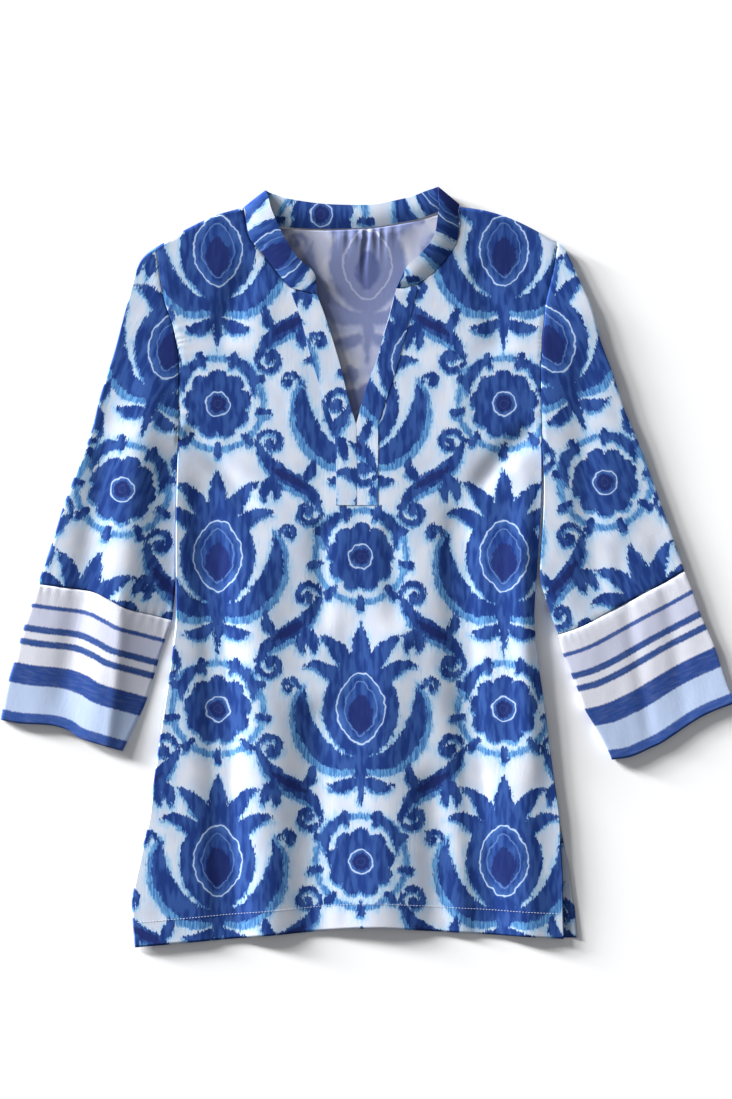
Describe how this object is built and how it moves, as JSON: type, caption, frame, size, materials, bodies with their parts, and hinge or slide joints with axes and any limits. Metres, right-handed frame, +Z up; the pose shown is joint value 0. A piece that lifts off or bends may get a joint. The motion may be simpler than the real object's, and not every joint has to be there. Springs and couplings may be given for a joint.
{
  "type": "tunic top",
  "caption": "Thin printed tunic top laid flat, with a stand collar over a deep notch, full sleeves and wide striped cuff bands.",
  "frame": {"origin": "on the surface the garment rests on, below the middle of its outline", "axes": "+Z up from the surface, out of the front; +Y from the hem to the collar; +X to the right as seen from above"},
  "size_m": [0.772, 0.7974, 0.011],
  "materials": {
    "printed_cloth": "soft matt woven cloth, printed in cobalt, mid blue and navy on pale grey",
    "printed_cloth_inside": "the same cloth from its inside, where the print shows through pale",
    "striped_cloth": "soft matt woven cloth with printed bands in white, lavender and two blues"
  },
  "bodies": {
    "root": {"front": "printed_cloth", "back": "printed_cloth_inside", "collar": "printed_cloth", "facing_left": "printed_cloth", "facing_right": "printed_cloth", "sleeve_left": "printed_cloth", "sleeve_right": "printed_cloth", "cuff_left": "striped_cloth", "cuff_right": "striped_cloth"}
  },
  "joints": []
}
